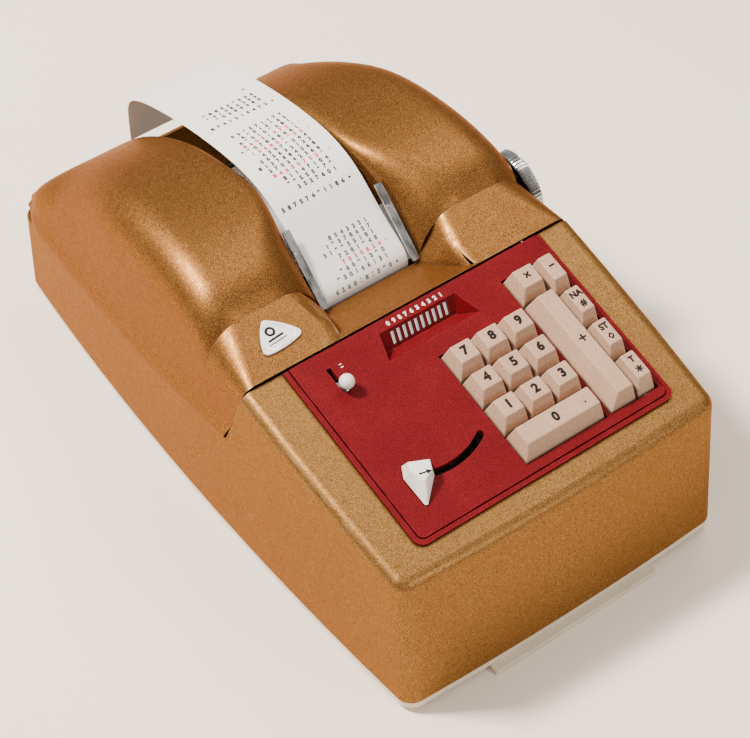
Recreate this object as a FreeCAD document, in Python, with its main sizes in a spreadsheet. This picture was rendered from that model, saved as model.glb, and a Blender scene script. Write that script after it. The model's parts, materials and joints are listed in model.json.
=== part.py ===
"""Ten-key printing adding machine: housing, two-humped rear cover, sloping keyboard and mechanism."""
import FreeCAD, Part
import math
import os
import re

from FreeCAD import Placement, Rotation, Vector

doc = FreeCAD.newDocument("adding_machine")
sheet = doc.addObject("Spreadsheet::Sheet", "size")

# Driving dimensions, in millimetres and degrees. The machine frame has X to the right, Y to the back
# and Z up from the table; X is 0 on the paper's centre line and Y is 0 at the panel's front edge.
SIZES = {
    "foot_height": 4,
    "pan_height": 5,
    "front_edge": -29,
    "rear_edge": 386,
    "front_half_width": 112.5,
    "middle_half_width": 117,
    "rear_half_width": 102,
    "wall": 2.4,
    "deck_slope": 13.7,
    "deck_rise": 107.3,
    "corner_radius": 10,
    "deck_radius": 8,
    "bar_reach": 4,
    "shelf_front": 121,
    "shelf_back": 159,
    "shelf_lift": 2.5,
    "cover_wall": 2,
    "cover_overhang": 1.6,
    "shoulder_radius": 25,
    "gap_half_width": 31,
    "brow_half_width": 36,
    "valley_front_half": 45,
    "valley_back_half": 33,
    "slot_height": 119,
    "paper_width": 59,
    "panel_left": -88.5,
    "panel_width": 180.5,
    "panel_length": 125.6,
    "panel_rim": 1.8,
    "panel_lift": 2.6,
    "panel_inset": 3.4,
    "key_pitch": 19,
    "row_pitch": 19.9,
    "key_gap": 0.7,
    "digit_left": -8,
    "key_front": 7.6,
    "motor_bar_left": 52.6,
    "motor_bar_width": 19.2,
    "function_left": 72.4,
    "function_width": 13.2,
    "function_pitch": 25.2,
    "key_skirt": 1,
    "key_height": 11.5,
    "key_travel": 4,
    "stem_length": 20,
    "platen_y": 174,
    "platen_z": 118,
    "platen_radius": 12,
    "platen_shaft_radius": 3,
    "knob_radius": 24.5,
    "knob_outer": 123.5,
    "frame_half_width": 46,
    "frame_thickness": 2,
    "roll_y": 300,
    "roll_z": 62,
    "roll_radius": 30,
    "main_shaft_y": 232,
    "main_shaft_z": 52,
    "gear_module": 1,
    "gear_teeth": 82,
    "pinion_teeth": 18,
    "running_fit": 0.06,
}
for row, (alias, number) in enumerate(SIZES.items(), start=1):
    sheet.set(f"A{row}", alias)
    sheet.set(f"B{row}", str(number))
    sheet.setAlias(f"B{row}", alias)
doc.recompute()


def size(alias):
    """The number that the sheet holds under this alias."""
    return float(sheet.get(alias))


def bind(obj, **sizes):
    """Bind each property to an expression of sheet aliases, so that the sheet drives it."""
    for name, text in sizes.items():
        obj.setExpression(name, re.sub(r"([a-z]+_[a-z_]+|wall)", r"size.\1", str(text)))
    return obj


# ---------------------------------------------------------------- places
SLOPE = size("deck_slope")
MACHINE_SHIFT = Vector(
    -(size("knob_outer") - size("middle_half_width") - size("cover_overhang")) / 2,
    -(size("rear_edge") + 1.5 + size("front_edge") - size("bar_reach")) / 2,
    0,
)
MACHINE = Placement(MACHINE_SHIFT, Rotation())
DECK = Placement(Vector(0, 0, size("deck_rise")), Rotation(Vector(1, 0, 0), SLOPE))
ALONG_X = Rotation(Vector(0, 1, 0), 90)
WEDGE_UP = Rotation(Vector(1, 0, 0), 90)


def at(x=0, y=0, z=0, turn=None):
    return Placement(Vector(x, y, z), turn or Rotation())


def on_deck(x=0, along=0, height=0, turn=None):
    """A place in the deck's own frame: x across, along the slope from the panel's front, height above it."""
    return DECK.multiply(at(x, along, height, turn))


def deck_z(y):
    """Height of the deck plane above the table at this distance back."""
    return size("deck_rise") + y * math.tan(math.radians(SLOPE))


# ---------------------------------------------------------------- small builders
def block(name, length, width, height, place):
    obj = bind(doc.addObject("Part::Box", name), Length=length, Width=width, Height=height)
    obj.Placement = place
    return obj


def rod(name, radius, height, place):
    obj = bind(doc.addObject("Part::Cylinder", name), Radius=radius, Height=height)
    obj.Placement = place
    return obj


def shaped(name, shape, place=None):
    """A piece whose outline needs curves: its shape is built from the sheet's sizes."""
    obj = doc.addObject("Part::Feature", name)
    obj.Shape = shape
    obj.Placement = place or Placement()
    return obj


def cut(name, base, tools):
    tool = tools[0] if len(tools) == 1 else joined(f"{name}_tools", tools)
    obj = doc.addObject("Part::Cut", name)
    obj.Base, obj.Tool = base, tool
    return obj


def joined(name, shapes):
    obj = doc.addObject("Part::MultiFuse", name)
    obj.Shapes = shapes
    return obj


def together(name, members):
    """Several separate solids of one kind that share a node."""
    obj = doc.addObject("Part::Compound", name)
    obj.Links = members
    return obj


def rounded(name, base, radius, chosen):
    """Round the edges of base that the test chosen(edge) picks."""
    doc.recompute()
    picked = [i for i, edge in enumerate(base.Shape.Edges, start=1) if chosen(edge)]
    obj = doc.addObject("Part::Fillet", name)
    obj.Base = base
    obj.Edges = [(i, radius, radius) for i in picked]
    return obj


PIECES = []


def piece(obj, label):
    """Mark a finished sub-part: its label names its node, and its place moves to the part's own frame."""
    doc.recompute()
    obj.Placement = MACHINE.multiply(obj.Placement)
    obj.Label = label
    PIECES.append(obj)
    return obj


def polygon(points):
    return Part.makePolygon([Vector(*p) for p in points] + [Vector(*points[0])])


def prism_along_x(profile, x_from, x_to):
    """A solid with a profile in the YZ plane, from one x to another."""
    face = Part.Face(profile)
    face.translate(Vector(x_from, 0, 0))
    return face.extrude(Vector(x_to - x_from, 0, 0))


def yz_polygon(points):
    return polygon([(0, y, z) for y, z in points])


# ---------------------------------------------------------------- housing
def side_x(y, grow=0.0):
    """Half width of the bowed outline at this distance back: an arc through front, middle and rear."""
    front, rear = size("front_edge"), size("rear_edge")
    middle = (front + rear) / 2
    reach = (y - middle) / (rear - middle)
    ends = size("rear_half_width"), size("front_half_width")
    slant = (ends[0] - ends[1]) / 2
    bulge = size("middle_half_width") - (ends[0] + ends[1]) / 2
    return (ends[0] + ends[1]) / 2 + slant * reach + bulge * (1 - reach * reach) + grow


def outline(height, front_in=0.0, side_in=0.0, rear_in=0.0):
    """The bowed plan outline at one height, drawn in from the base by these amounts."""
    front, rear = size("front_edge") + front_in, size("rear_edge") - rear_in
    middle = (front + rear) / 2

    def corner(side, y):
        return Vector(side * side_x(y, -side_in), y, height)

    left_front, right_front = corner(-1, front + 3), corner(1, front + 3)
    left_rear, right_rear = corner(-1, rear - 2), corner(1, rear - 2)
    arcs = [
        Part.Arc(left_front, Vector(0, front, height), right_front),
        Part.Arc(right_front, corner(1, middle), right_rear),
        Part.Arc(right_rear, Vector(0, rear, height), left_rear),
        Part.Arc(left_rear, corner(-1, middle), left_front),
    ]
    return Part.Wire([arc.toShape() for arc in arcs])


def outline_solid(bottom, top, inset, corner):
    """The outline drawn up with its draft: 1 in 10 at the front, slight at the sides."""

    def wire(height):
        rise = height - size("foot_height")
        return outline(height, inset + 0.1 * rise, inset + 0.012 * rise, inset + 0.01 * rise)

    solid = Part.makeLoft([wire(bottom), wire(top)], True, True)
    upright = [e for e in solid.Edges if abs(e.Vertexes[0].Z - e.Vertexes[-1].Z) > (top - bottom) / 2]
    return solid.makeFillet(corner, upright)


# The line where the cover meets the housing, seen from the side: up the cover's front edge,
# round its pointed tip and back along the seam.
SEAM_BACK = [(139, 88), (166, 85), (220, 78), (278, 72.5), (340, 68.5), (400, 66)]
SEAM_GAP = 1.4
SEAM_FRONT = [(121, 140), (125, 126), (131, 108), (139, 88)]


def spline(points):
    curve = Part.BSplineCurve()
    curve.interpolate([Vector(0, y, z) for y, z in points])
    return curve.toShape()


def seam_height(y):
    """Height of the seam at this distance back, straight between the seam's points."""
    if y <= SEAM_BACK[0][0]:
        return SEAM_BACK[0][1]
    for (y0, z0), (y1, z1) in zip(SEAM_BACK, SEAM_BACK[1:]):
        if y <= y1:
            return z0 + (z1 - z0) * (y - y0) / (y1 - y0)
    return SEAM_BACK[-1][1]


def seam_region(lower):
    """Everything above the seam and behind the cover's front edge, moved down by lower."""
    closing = [(400, 66), (400, 260), (121, 260), (121, 140)]
    edges = [spline(SEAM_FRONT), spline(SEAM_BACK)]
    edges += [
        Part.makeLine(Vector(0, *a), Vector(0, *b)) for a, b in zip(closing, closing[1:])
    ]
    wire = Part.Wire(Part.__sortEdges__(edges))
    wire.translate(Vector(0, -lower * 0.4, -lower))
    return prism_along_x(wire, -150, 150)


def above_deck(drop):
    """A slab that covers everything above the deck plane moved down by drop."""
    slab = Part.makeBox(400, 700, 300, Vector(-200, -200, -drop))
    slab.Placement = DECK
    return slab


def make_lower_housing():
    bottom = size("foot_height") + size("pan_height")
    outer = outline_solid(bottom, 175, 0, size("corner_radius")).cut(above_deck(0)).cut(seam_region(SEAM_GAP))
    slope = math.tan(math.radians(SLOPE))

    def on_rim(edge):
        ends = [v.Z - size("deck_rise") - v.Y * slope for v in edge.Vertexes]
        return max(abs(e) for e in ends) < 0.05 and min(v.Y for v in edge.Vertexes) < 115

    outer = outer.makeFillet(size("deck_radius"), [e for e in outer.Edges if on_rim(e)])
    wall = size("wall")
    inner = outline_solid(bottom - 1, 175, wall, size("corner_radius") - 2).cut(above_deck(wall))
    opening = Part.makeBox(168, 220, 40, Vector(-82, 6, -20))
    opening.Placement = DECK
    inlet_hole = Part.makeBox(30, 30, 20, Vector(-75, 370, 26))
    shell = outer.cut(inner).cut(opening).cut(inlet_hole)
    return piece(shaped("housing", shell), "lower_housing")


def make_base():
    foot, pan = size("foot_height"), size("pan_height")
    tray = outline_solid(foot, foot + pan, 0.8, size("corner_radius"))
    tray = tray.cut(outline_solid(foot + 1.5, foot + pan + 1, 0.8 + size("wall"), size("corner_radius") - 2))
    screws, feet, heads = [], [], []
    for x, y in ((-88, 6), (88, 6), (-82, 350), (82, 350)):
        screws.append(Part.makeCylinder(2, 20, Vector(x, y, 0)))
        foot_body = rod("foot", "9", "foot_height", at(x, y, 0))
        well = rod("foot_well", "4.2", "foot_height + 1", at(x, y, -0.5))
        feet.append(cut("foot_ring", foot_body, [well]))
        head = rod("screw_head", "3.6", "foot_height - 1.4", at(x, y, 1.4))
        shank = rod("screw_shank", "2", "pan_height - 1", at(x, y, foot))
        heads.append(joined("base_screw", [head, shank]))
    tray = tray.cut(Part.makeCompound(screws))
    piece(shaped("pan", tray), "base_pan")
    piece(together("feet", feet), "rubber_feet")
    piece(together("screws", heads), "base_screws")
    bar = block("bar", "118", "12", "foot_height - 0.6", at(-56, size("front_edge") - size("bar_reach"), 0.6))
    piece(bar, "front_foot_bar")


# ---------------------------------------------------------------- rear cover
# Stations of the cover's crown: distance back, height of the crown, and how far the brow beside
# the paper channel falls below it.
CROWN = [
    (159, 148.8, 27.5), (165, 155.5, 30), (173, 160.5, 29), (186, 164.5, 22), (204, 167, 11.5),
    (226, 167, 5), (250, 164.5, 4.5), (276, 158.5, 5), (302, 148.5, 6), (326, 134.5, 6),
    (346, 119, 6), (362, 103, 6), (375, 87.5, 5), (384.5, 75, 3),
]
FLUTE_HEIGHT = 14
SKIRT = 30
FLARE = 2.6
LEAN = 0.055
BROW_RADIUS = 12


def side_edges(y, side, top, inset, radius):
    """The cover's side at one station: seam, rim, flute, leaning wall and shoulder."""
    seam = seam_height(y)
    room = top - inset - seam
    flute_top = seam + min(FLUTE_HEIGHT, 0.5 * room)
    behind = max(0.0, y - 270)
    radius = min(radius + 0.22 * behind, top - inset - flute_top - 1)
    half = side_x(min(y, 372), size("cover_overhang") - inset - 0.012 * seam) - max(0.0, y - 366) * 0.42
    wall_low = half - FLARE
    shoulder = top - inset - radius
    wall_high = wall_low - (LEAN + 0.0015 * behind) * (shoulder - flute_top)

    def at_section(x, z):
        return Vector(side * x, y, z)

    rim = seam + 0.25 * (flute_top - seam)
    flute = Part.BezierCurve()
    bow = 0.4 * (flute_top - rim)
    flute.setPoles([at_section(half, rim), at_section(half, rim + bow),
                    at_section(wall_low, flute_top - bow), at_section(wall_low, flute_top)])
    shoulder_curve = Part.BezierCurve()
    shoulder_curve.setPoles([
        at_section(wall_high, shoulder), at_section(wall_high - 0.02 * radius, shoulder + 0.55 * radius),
        at_section(wall_high - 0.45 * radius, top - inset), at_section(wall_high - radius, top - inset),
    ])
    edges = [
        Part.makeLine(at_section(half, seam - SKIRT - 4 * inset), at_section(half, rim)),
        flute.toShape(),
        Part.makeLine(at_section(wall_low, flute_top), at_section(wall_high, shoulder)),
        shoulder_curve.toShape(),
    ]
    return edges, at_section(wall_high - radius, top - inset), at_section(half, seam - SKIRT - 4 * inset)


def hump_section(y, crown, drop, side, inset):
    """One closed cross-section of a hump, from the seam over the crown to the paper channel."""
    edges, crown_end, foot = side_edges(y, side, crown, inset, size("shoulder_radius"))
    reach = min(1.0, max(0.0, (y - 186) / 40))
    gap = size("brow_half_width") + (size("gap_half_width") - size("brow_half_width")) * reach + inset
    spread = 4 + 0.95 * drop
    top = crown - inset

    def at_section(x, z):
        return Vector(side * x, y, z)

    brow = Part.BezierCurve()
    brow.setPoles([at_section(gap + spread, top), at_section(gap + 0.4 * spread, top),
                   at_section(gap, top - 0.45 * drop), at_section(gap, top - drop)])
    edges += [
        Part.makeLine(crown_end, at_section(gap + spread, top)),
        brow.toShape(),
        Part.makeLine(at_section(gap, top - drop), at_section(gap, foot.z)),
        Part.makeLine(at_section(gap, foot.z), foot),
    ]
    return Part.Wire(edges)


def hump(side, inset):
    sections = [hump_section(y, crown, drop, side, inset) for y, crown, drop in CROWN]
    if inset:
        sections = sections[:-1]
    return Part.makeLoft(sections, True, False)


def shelf_section(y, inset):
    top = deck_z(y) + size("shelf_lift") / math.cos(math.radians(SLOPE))
    radius = size("deck_radius") + (size("shoulder_radius") - size("deck_radius")) * (
        (y - size("shelf_front")) / (size("shelf_back") - size("shelf_front"))
    )
    left, left_end, left_foot = side_edges(y, -1, top, inset, radius)
    right, right_end, right_foot = side_edges(y, 1, top, inset, radius)
    across = Part.makeLine(left_end, right_end)
    under = Part.makeLine(right_foot, left_foot)
    return Part.Wire(left + [across] + right[::-1] + [under])


def valley(inset):
    """The funnel that falls from the cover's front edge to the paper slot."""
    front, back = size("shelf_front"), size("shelf_back")
    lip = deck_z(front) + size("shelf_lift") / math.cos(math.radians(SLOPE)) - inset
    low, wide, narrow = size("slot_height") - inset, size("valley_front_half"), size("valley_back_half")
    fall = (lip - low) / (back - front)

    def quad(y, half, z, spread):
        return polygon([(-half, y, z), (half, y, z), (half + spread, y, 190), (-half - spread, y, 190)])

    before, after = front - 5, back + 0.01
    return Part.makeLoft([
        quad(before, wide + inset + 1.2, lip + 5 * fall, 0.5),
        quad(after, narrow + inset, low, 42),
    ], True, True)


def make_rear_cover():
    wall, gap = size("cover_wall"), size("gap_half_width")
    front, back = size("shelf_front"), size("shelf_back")
    shelf = Part.makeLoft([shelf_section(front, 0), shelf_section(back, 0)], True, True).cut(valley(0))

    def on_brow(edge):
        ends = [v.Point for v in edge.Vertexes]
        return (abs(ends[0].y - ends[-1].y) > 0.8 * (back - front)
                and all(30 < abs(p.x) < 80 and p.z > size("slot_height") + 6 for p in ends))

    shelf = shelf.makeFillet(BROW_RADIUS, [e for e in shelf.Edges if on_brow(e)])
    under = Part.makeLoft([shelf_section(front - 1, wall), shelf_section(back + 0.5, wall)], True, True)
    shelf = shelf.cut(under.cut(valley(wall)))
    humps = [hump(side, 0).cut(hump(side, wall)) for side in (-1, 1)]
    shell = shelf.fuse(humps).common(seam_region(0))
    platen_gate = Part.makeBox(2 * gap + 22, 34, 80, Vector(-gap - 11, 160, 44))
    knob_well = Part.makeCylinder(size("knob_radius") + 3, 60,
                                  Vector(90, size("platen_y"), size("platen_z")), Vector(1, 0, 0))
    bridge = Part.makeBox(2 * gap + 2, 2, 8, Vector(-gap - 1, 378, 68))
    return piece(shaped("cover", shell.cut([knob_well, platen_gate]).fuse(bridge)), "rear_cover")


# ---------------------------------------------------------------- panel
def plate(width, length, height, corner):
    box = Part.makeBox(width, length, height)
    front = [e for e in box.Edges if abs(e.Vertexes[0].Z - e.Vertexes[1].Z) > height / 2
             and e.Vertexes[0].Y < length / 2]
    return box.makeFillet(corner, front)


RECESS_TOP = [(-34, 99), (30, 99), (24.5, 116.5), (-28.5, 116.5)]
RECESS_FLOOR = [(-27.5, 107.6), (23, 107.6), (22.5, 108.6), (-27, 108.6)]
RECESS_DEPTH = 6.5


def recess(grow):
    """The sunk hopper of the column indicator, grown outwards for the pocket's own wall."""
    top_height, floor_height = size("panel_lift") + 0.01, -RECESS_DEPTH

    def ring(points, height):
        middle_x = sum(p[0] for p in points) / 4
        middle_y = sum(p[1] for p in points) / 4
        grown = [(x + math.copysign(grow, x - middle_x), y + math.copysign(grow, y - middle_y))
                 for x, y in points]
        return polygon([(x, y, height) for x, y in grown])

    return Part.makeLoft([ring(RECESS_TOP, top_height), ring(RECESS_FLOOR, floor_height - grow)], True, True)


LEVER_PIVOT = (-44, 78.5)
LEVER_REACH = 49.5
LEVER_REST = -23
LEVER_SWING = 52
SELECTOR_X = -66
SELECTOR_FRONT = 98.5
SELECTOR_TRAVEL = 12
COLUMN_PITCH = 4.1
COLUMNS = 10
COLUMN_START = -21.4
SLIT_WIDTH = 2.7


def arc_slot(width, reach, start, swing, low, high):
    """A curved slot about the lever's pivot: a piece of ring with round ends."""
    x, y = LEVER_PIVOT
    ring = Part.makeCylinder(reach + width / 2, high - low, Vector(x, y, low), Vector(0, 0, 1), swing)
    ring = ring.cut(Part.makeCylinder(reach - width / 2, high - low, Vector(x, y, low)))
    ring.rotate(Vector(x, y, 0), Vector(0, 0, 1), start - 90)
    ends = []
    for turn in (start, start + swing):
        tip = Vector(x + reach * math.sin(math.radians(turn)), y - reach * math.cos(math.radians(turn)), low)
        ends.append(Part.makeCylinder(width / 2, high - low, tip))
    return ring.fuse(ends)


def slot_frame():
    """The frame of the indicator's sloping back wall: x across, y down the slope, z out of the wall."""
    top = Vector(0, RECESS_TOP[2][1], size("panel_lift"))
    floor = Vector(0, RECESS_FLOOR[2][1], -RECESS_DEPTH)
    fall = math.degrees(math.atan2(top.z - floor.z, top.y - floor.y))
    return Placement(floor, Rotation(Vector(1, 0, 0), fall)), (top - floor).Length


def make_panel():
    left, width, length = size("panel_left"), size("panel_width"), size("panel_length")
    lift, rim, inset, gap = size("panel_lift"), size("panel_rim"), size("panel_inset"), size("key_gap")
    rim_plate = plate(width, length, rim, 6)
    rim_plate.translate(Vector(left, -2, 0))
    raised = plate(width - 2 * inset, length - inset, lift, 4)
    raised.translate(Vector(left + inset, -2 + inset, 0))
    moat = plate(width - 2 * inset + 1.4, length - inset + 1.4, 5, 4.6)
    moat.translate(Vector(left + inset - 0.7, -2 + inset - 0.7, rim - 0.9))
    body = rim_plate.cut(moat).fuse(raised).fuse(recess(1.4)).cut(recess(0))
    front = size("key_front") - gap
    rows_top = size("key_front") + 4 * size("row_pitch") + gap / 2
    tall_top = size("key_front") + 4 * size("function_pitch") + gap / 2
    bar_left, tall_right = size("motor_bar_left"), size("function_left") + size("function_width")
    windows = [
        Part.makeBox(3 * size("key_pitch") + gap, rows_top - front, 40,
                     Vector(size("digit_left") - gap, front, -20)),
        Part.makeBox(tall_right - bar_left + 2 * gap, tall_top - front, 40,
                     Vector(bar_left - gap, front, -20)),
    ]
    lever = arc_slot(4.4, LEVER_REACH, LEVER_REST - 1, LEVER_SWING + 3, -5, 10)
    selector = Part.makeBox(3, SELECTOR_TRAVEL + 5, 30, Vector(SELECTOR_X - 1.5, SELECTOR_FRONT - 2.5, -10))
    notch = Part.makeBox(5, 3.6, 30, Vector(SELECTOR_X, SELECTOR_FRONT - 2.5, -10))
    frame, slope_length = slot_frame()
    slots = []
    for i in range(COLUMNS):
        slit = Part.makeBox(SLIT_WIDTH, slope_length - 3.4, 6, Vector(COLUMN_START + i * COLUMN_PITCH, 1.2, -4))
        slit.Placement = frame
        slots.append(slit)
    guides = [Part.makeBox(2, 21, 2.5, Vector(SELECTOR_X + side * 7.4 - 1, SELECTOR_FRONT - 10, -2.5))
              for side in (-1, 1)]
    body = body.fuse(guides).cut(windows + [lever, selector, notch] + slots)
    return piece(shaped("panel", body, DECK), "keyboard_panel")


# ---------------------------------------------------------------- keys
DIGITS = [("0", 0, 0), ("1", 0, 1), ("2", 1, 1), ("3", 2, 1), ("4", 0, 2), ("5", 1, 2), ("6", 2, 2),
          ("7", 0, 3), ("8", 1, 3), ("9", 2, 3)]
FUNCTIONS = ["total", "subtotal", "non_add", "minus"]
STEM_X, STEM_Y = 5, 2.4
DIGIT_INSETS = (3.6, 1.6, 6.2, 1.2)


def key(label, left, front, width, depth, insets, stems):
    """A keycap: a blunt pyramid on its stem. insets are left, right, front and back at the top face."""
    gap = size("key_gap")
    cap = doc.addObject("Part::Wedge", f"cap_{label}")
    rise = "key_height - key_skirt"
    bind(cap, Xmin=0, Xmax=f"{width} - key_gap", Zmin=0, Zmax=f"{depth} - key_gap", Ymin=0, Ymax=rise)
    bind(cap, X2min=insets[0], X2max=f"{width} - key_gap - {insets[1]}")
    bind(cap, Z2min=insets[3], Z2max=f"{depth} - key_gap - {insets[2]}")
    doc.recompute()
    deep = cap.Zmax.Value
    cap.Placement = on_deck(left, front + deep, size("key_skirt"), WEDGE_UP)

    def above_skirt(edge):
        return max(v.Point.dot(DECK.Rotation.multVec(Vector(0, 0, 1))) for v in edge.Vertexes) > (
            DECK.Base.dot(DECK.Rotation.multVec(Vector(0, 0, 1))) + size("key_skirt") + 1
        )

    soft = rounded(f"soft_{label}", cap, 1.1, above_skirt)
    legs = []
    for x, along in stems:
        legs.append(block(f"stem_{label}", STEM_X, STEM_Y, "stem_length", on_deck(
            x - STEM_X / 2, along - STEM_Y / 2, size("key_skirt") - size("stem_length") + 0.5)))
    piece(joined(f"key_{label}_solid", [soft] + legs), f"key_{label}")


def stem_places():
    """Where each key's stems pass the guide plate, by key label: across and along the deck."""
    pitch, row, front = size("key_pitch"), size("row_pitch"), size("key_front")
    left, tall = size("digit_left"), size("function_pitch")
    places = {}
    for label, column, line in DIGITS:
        x, along = left + (column + 0.5) * pitch, front + (line + 0.5) * row
        places[label] = [(x, along)]
    places["0"] = [(left + pitch * 0.5, front + row / 2), (left + pitch * 2.5, front + row / 2)]
    bar = size("motor_bar_left") + size("motor_bar_width") / 2
    places["multiply"] = [(bar, front + 3.6 * tall)]
    places["plus"] = [(bar, front + 0.5 * tall), (bar, front + 2.7 * tall)]
    for i, name in enumerate(FUNCTIONS):
        places[name] = [(size("function_left") + size("function_width") / 2, front + (i + 0.5) * tall)]
    return places


def make_keys():
    pitch, row, front = size("key_pitch"), size("row_pitch"), size("key_front")
    left, tall = size("digit_left"), size("function_pitch")
    stems = stem_places()
    for label, column, line in DIGITS:
        wide = "key_pitch * 3" if label == "0" else "key_pitch"
        key(label, left + column * pitch, front + line * row, wide, "row_pitch", DIGIT_INSETS, stems[label])
    bar = size("motor_bar_left")
    key("plus", bar, front, "motor_bar_width", "function_pitch * 3.2", (6.4, 1.4, 5.5, 1.2), stems["plus"])
    key("multiply", bar, front + 3.2 * tall, "motor_bar_width", "function_pitch * 0.8", (4, 1.6, 6, 1.2),
        stems["multiply"])
    for i, name in enumerate(FUNCTIONS):
        key(name, size("function_left"), front + i * tall, "function_width", "function_pitch",
            (2.4, 1.2, 6.6, 1.4), stems[name])


def make_key_guides():
    """Two plates under the panel that the key stems run through, and the posts that carry them."""
    holes = []
    for places in stem_places().values():
        for x, along in places:
            holes.append(Part.makeBox(STEM_X + 0.6, STEM_Y + 0.6, 80,
                                      Vector(x - STEM_X / 2 - 0.3, along - STEM_Y / 2 - 0.3, -60)))
    holes.append(Part.makeBox(68, 30, 80, Vector(-20, 92, -60)))
    holes = Part.makeCompound(holes)
    guide = Part.makeBox(112, 112, 1.5, Vector(-18, 2.5, -9.5)).cut(holes)
    base = Part.makeBox(112, 112, 1.5, Vector(-18, 2.5, -18)).cut(holes)
    piece(shaped("guide", guide, DECK), "key_guide_plate")
    piece(shaped("base", base, DECK), "key_base_plate")
    posts = []
    for x, along, top in ((-14, 9, 0), (-14, 88, 0), (90.5, 6, -2.4), (90.5, 110, -2.4), (51, 112, 0)):
        posts.append(rod("post", "2.5", f"{8 + top}", on_deck(x, along, -8)))
        posts.append(rod("post", "2.5", "7", on_deck(x, along, -16.5)))
    piece(together("posts", posts), "key_guide_posts")


# ---------------------------------------------------------------- levers and column indicator
def make_clear_lever():
    x, along = LEVER_PIVOT
    frame = on_deck(x, along, 0, Rotation(Vector(0, 0, 1), LEVER_REST))
    arm = Part.makeBox(7, LEVER_REACH + 3, 1.6, Vector(-3.5, -LEVER_REACH - 3, -6.4))
    hub = Part.makeCylinder(7, 1.6, Vector(0, 0, -6.4)).fuse(arm)
    upright = Part.makeBox(2.4, 3.6, 10.4, Vector(-1.2, -LEVER_REACH - 1.8, -5))
    lever = hub.fuse(upright).cut(Part.makeCylinder(2.5 + size("running_fit"), 10, Vector(0, 0, -8)))
    piece(shaped("clear_arm", lever, frame), "clear_lever")
    foot = Vector(x, along, -8.6)
    pin = Part.makeCylinder(2.5, 8.6, foot).fuse(Part.makeCylinder(4.5, 1.4, foot))
    piece(shaped("clear_pin", pin, DECK), "clear_lever_pin")
    base = [(-8, 7, 3.4), (8, 7, 3.4), (8.6, -1, 3.4), (0.9, -18, 3.4), (-0.9, -18, 3.4), (-8.6, -1, 3.4)]
    crest = [(-6.2, 5, 11), (6.2, 5, 11), (6, -1, 11), (0.8, -7, 11), (-0.8, -7, 11), (-6, -1, 11)]
    cap = Part.makeLoft([polygon(base), polygon(crest)], True, True)
    cap = cap.makeFillet(0.6, [e for e in cap.Edges if max(v.Z for v in e.Vertexes) > 8])
    cap.translate(Vector(0, -LEVER_REACH, 0))
    cap = cap.cut(Part.makeBox(2.4, 3.6, 5.4, Vector(-1.2, -LEVER_REACH - 1.8, 0)))
    piece(shaped("clear_cap", cap, frame), "clear_lever_knob")


def make_selector():
    y = SELECTOR_FRONT
    slide = Part.makeBox(12, 12, 1.5, Vector(SELECTOR_X - 6, y - 6, -2.1))
    neck = Part.makeBox(2, 3.4, 8, Vector(SELECTOR_X - 1, y - 1.7, -1))
    piece(shaped("selector_plate", slide.fuse(neck), DECK), "selector_slide")
    ball = Part.makeSphere(4.4, Vector(SELECTOR_X + 1.3, y, 9))
    ball = ball.cut(Part.makeBox(2, 3.4, 7, Vector(SELECTOR_X - 1, y - 1.7, 0)))
    piece(shaped("selector_ball", ball, DECK), "selector_knob")


def make_indicator():
    """The white comb behind the ten windows, the pin carriage that carries it, and its rail."""
    frame, slope_length = slot_frame()
    span = COLUMNS * COLUMN_PITCH + 2
    comb = Part.makeBox(span, slope_length - 2.8, 0.8, Vector(COLUMN_START - 1, 0.4, -3.1))
    piece(shaped("comb", comb, DECK.multiply(frame)), "indicator_comb")
    arm = Part.makeBox(20, 3, 18, Vector(-10, 0, 0))
    arm.Placement = on_deck(0, 118.2, -22)
    block_body = Part.makeBox(span, 14, 12, Vector(COLUMN_START - 2, 0, 0))
    block_body.Placement = on_deck(0, 121.2, -22)
    bore = Part.makeCylinder(3 + size("running_fit"), 300, Vector(-150, 0, 0), Vector(1, 0, 0))
    bore.Placement = on_deck(0, 128, -16)
    piece(shaped("carriage", block_body.fuse(arm).cut(bore)), "pin_carriage")
    rail = rod("rail", "3", "146", on_deck(-76, 128, -16, ALONG_X))
    ends = []
    for x in (-80, 66):
        post = block("rail_post", "8", "6", "22", on_deck(x, 117, -22))
        ends.append(joined("rail_end", [post, block("rail_block", "8", "14", "12", on_deck(x, 117, -22))]))
    piece(together("rail_and_blocks", [rail] + ends), "carriage_rail")


def make_badge():
    corners = [Vector(-80, 157, 0), Vector(-91.5, 137, 0), Vector(-64, 139.5, 0)]
    centre = (corners[0] + corners[1] + corners[2]) / 3
    edges = []
    for a, b in zip(corners, corners[1:] + corners[:1]):
        middle = (a + b) / 2
        bow = middle + (middle - centre).normalize() * 1.8
        edges.append(Part.Arc(a, bow, b).toShape())
    shape = Part.Face(Part.Wire(edges)).extrude(Vector(0, 0, 1.4))
    upright = [e for e in shape.Edges if abs(e.Vertexes[0].Z - e.Vertexes[-1].Z) > 1]
    shape = shape.makeFillet(2.6, upright)
    piece(shaped("badge_plate", shape, on_deck(0, 0, size("shelf_lift"))), "badge")


# ---------------------------------------------------------------- paper, window and platen
PAPER_THICKNESS = 0.3


def paper_path():
    """Middle line of the tape, seen from the side: roll, platen, slot, over the top and down behind."""
    y, z, radius = size("platen_y"), size("platen_z"), size("platen_radius") + 0.6
    wrap = [(y + radius * math.cos(math.radians(a)), z + radius * math.sin(math.radians(a)))
            for a in (-80, -110, -140, -170, -200)]
    back = [(size("roll_y"), size("roll_z") + size("roll_radius") + 0.6), (260, 93.5), (215, 97.5)]
    rise = [(175, 133.5), (190, 143), (213, 158.4), (232, 164)]
    over = [(262, 163.6), (300, 157), (335, 147), (354, 139), (364, 130.5), (367, 115), (366.5, 98)]
    return back + wrap + rise + over


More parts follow.
